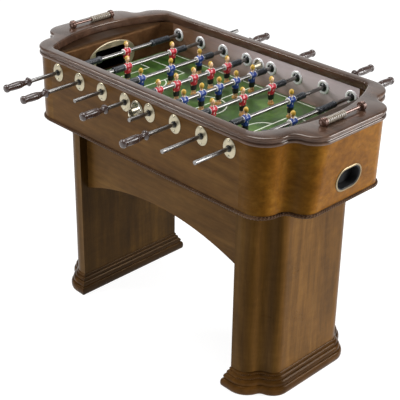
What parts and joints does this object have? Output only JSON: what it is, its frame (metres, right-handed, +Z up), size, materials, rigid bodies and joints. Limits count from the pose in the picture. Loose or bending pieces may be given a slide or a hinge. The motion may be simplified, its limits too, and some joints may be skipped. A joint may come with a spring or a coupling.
{
  "type": "foosball table",
  "caption": "Furniture-style foosball table on two pedestals: burl cabinet with scalloped corners, playing rods with red and blue figures, bead scorers, side ball entries and end ball returns",
  "frame": {"origin": "centre of the bounding box footprint, on the floor", "axes": "+X along the table's length towards the right end, +Y across it to the back, +Z up"},
  "size_m": [1.214, 1.006, 0.944],
  "materials": {
    "cabinet_wood": "gloss lacquered burl veneer",
    "edge_wood": "gloss lacquered dark moulding",
    "rail_wood": "gloss lacquered top rail",
    "leg_wood": "gloss lacquered dark pedestal",
    "inner_wood": "satin stained inner wall",
    "field": "printed playing surface",
    "champagne_metal": "satin champagne plating",
    "screw_metal": "polished",
    "chrome_rod": "polished",
    "black_plastic": "moulded",
    "cream_plastic": "moulded",
    "tray_plastic": "moulded",
    "bumper_rubber": "ribbed rubber",
    "handle_plastic": "very dark brown",
    "red_player": "painted",
    "blue_player": "painted",
    "scorer_metal": "bronzed"
  },
  "bodies": {
    "table": {"front_panel": "cabinet_wood", "back_panel": "cabinet_wood", "left_end_panel": "cabinet_wood", "right_end_panel": "cabinet_wood", "bead_moulding": "edge_wood", "front_top_rail": "rail_wood", "back_top_rail": "rail_wood", "left_top_rail": "rail_wood", "right_top_rail": "rail_wood", "cabinet_floor": "inner_wood", "playfield": "field", "left_inner_end": "inner_wood", "right_inner_end": "inner_wood", "goal_plates": "champagne_metal", "ball_trays": "tray_plastic", "return_bezels": "champagne_metal", "left_leg": "leg_wood", "right_leg": "leg_wood", "left_leg_base": "leg_wood", "right_leg_base": "leg_wood", "aprons": "leg_wood", "escutcheons": "champagne_metal", "escutcheon_screws": "screw_metal", "rod_bushes": "black_plastic", "ball_entry_cups": "champagne_metal", "scorer_posts": "scorer_metal"},
    "left_score": {"left_score_beads": "cream_plastic"},
    "right_score": {"right_score_beads": "cream_plastic"},
    "carrier_1": {"bumpers_1": "bumper_rubber"},
    "rod_unit_1": {"rod_1": "chrome_rod", "handle_1": "handle_plastic", "players_1": "red_player"},
    "carrier_2": {"bumpers_2": "bumper_rubber"},
    "rod_unit_2": {"rod_2": "chrome_rod", "handle_2": "handle_plastic", "players_2": "red_player"},
    "carrier_3": {"bumpers_3": "bumper_rubber"},
    "rod_unit_3": {"rod_3": "chrome_rod", "handle_3": "handle_plastic", "players_3": "blue_player"},
    "carrier_4": {"bumpers_4": "bumper_rubber"},
    "rod_unit_4": {"rod_4": "chrome_rod", "handle_4": "handle_plastic", "players_4": "red_player"},
    "carrier_5": {"bumpers_5": "bumper_rubber"},
    "rod_unit_5": {"rod_5": "chrome_rod", "handle_5": "handle_plastic", "players_5": "blue_player"},
    "carrier_6": {"bumpers_6": "bumper_rubber"},
    "rod_unit_6": {"rod_6": "chrome_rod", "handle_6": "handle_plastic", "players_6": "red_player"},
    "carrier_7": {"bumpers_7": "bumper_rubber"},
    "rod_unit_7": {"rod_7": "chrome_rod", "handle_7": "handle_plastic", "players_7": "blue_player"},
    "carrier_8": {"bumpers_8": "bumper_rubber"},
    "rod_unit_8": {"rod_8": "chrome_rod", "handle_8": "handle_plastic", "players_8": "blue_player"}
  },
  "joints": [
    {"name": "left_score_slide", "type": "slide", "parent": "table", "child": "left_score", "axis": [0, 1, 0], "range_m": [-0.0715, 0]},
    {"name": "right_score_slide", "type": "slide", "parent": "table", "child": "right_score", "axis": [0, 1, 0], "range_m": [0, 0.0715]},
    {"name": "rod_1_slide", "type": "slide", "parent": "table", "child": "carrier_1", "axis": [0, 1, 0], "range_m": [-0.0674, 0.0454]},
    {"name": "rod_1_spin", "type": "hinge", "parent": "carrier_1", "child": "rod_unit_1", "pos_m": [-0.385, 0, 0.855], "axis": [0, 1, 0], "continuous": true},
    {"name": "rod_2_slide", "type": "slide", "parent": "table", "child": "carrier_2", "axis": [0, 1, 0], "range_m": [-0.1091, 0.0671]},
    {"name": "rod_2_spin", "type": "hinge", "parent": "carrier_2", "child": "rod_unit_2", "pos_m": [-0.275, 0, 0.855], "axis": [0, 1, 0], "continuous": true},
    {"name": "rod_3_slide", "type": "slide", "parent": "table", "child": "carrier_3", "axis": [0, 1, 0], "range_m": [-0.0701, 0.0461]},
    {"name": "rod_3_spin", "type": "hinge", "parent": "carrier_3", "child": "rod_unit_3", "pos_m": [-0.165, 0, 0.855], "axis": [0, 1, 0], "continuous": true},
    {"name": "rod_4_slide", "type": "slide", "parent": "table", "child": "carrier_4", "axis": [0, 1, 0], "range_m": [-0.0461, 0.0261]},
    {"name": "rod_4_spin", "type": "hinge", "parent": "carrier_4", "child": "rod_unit_4", "pos_m": [-0.055, 0, 0.855], "axis": [0, 1, 0], "continuous": true},
    {"name": "rod_5_slide", "type": "slide", "parent": "table", "child": "carrier_5", "axis": [0, 1, 0], "range_m": [-0.0491, 0.0231]},
    {"name": "rod_5_spin", "type": "hinge", "parent": "carrier_5", "child": "rod_unit_5", "pos_m": [0.055, 0, 0.855], "axis": [0, 1, 0], "continuous": true},
    {"name": "rod_6_slide", "type": "slide", "parent": "table", "child": "carrier_6", "axis": [0, 1, 0], "range_m": [-0.0631, 0.0531]},
    {"name": "rod_6_spin", "type": "hinge", "parent": "carrier_6", "child": "rod_unit_6", "pos_m": [0.165, 0, 0.855], "axis": [0, 1, 0], "continuous": true},
    {"name": "rod_7_slide", "type": "slide", "parent": "table", "child": "carrier_7", "axis": [0, 1, 0], "range_m": [-0.0901, 0.0861]},
    {"name": "rod_7_spin", "type": "hinge", "parent": "carrier_7", "child": "rod_unit_7", "pos_m": [0.275, 0, 0.855], "axis": [0, 1, 0], "continuous": true},
    {"name": "rod_8_slide", "type": "slide", "parent": "table", "child": "carrier_8", "axis": [0, 1, 0], "range_m": [-0.0404, 0.0724]},
    {"name": "rod_8_spin", "type": "hinge", "parent": "carrier_8", "child": "rod_unit_8", "pos_m": [0.385, 0, 0.855], "axis": [0, 1, 0], "continuous": true}
  ]
}
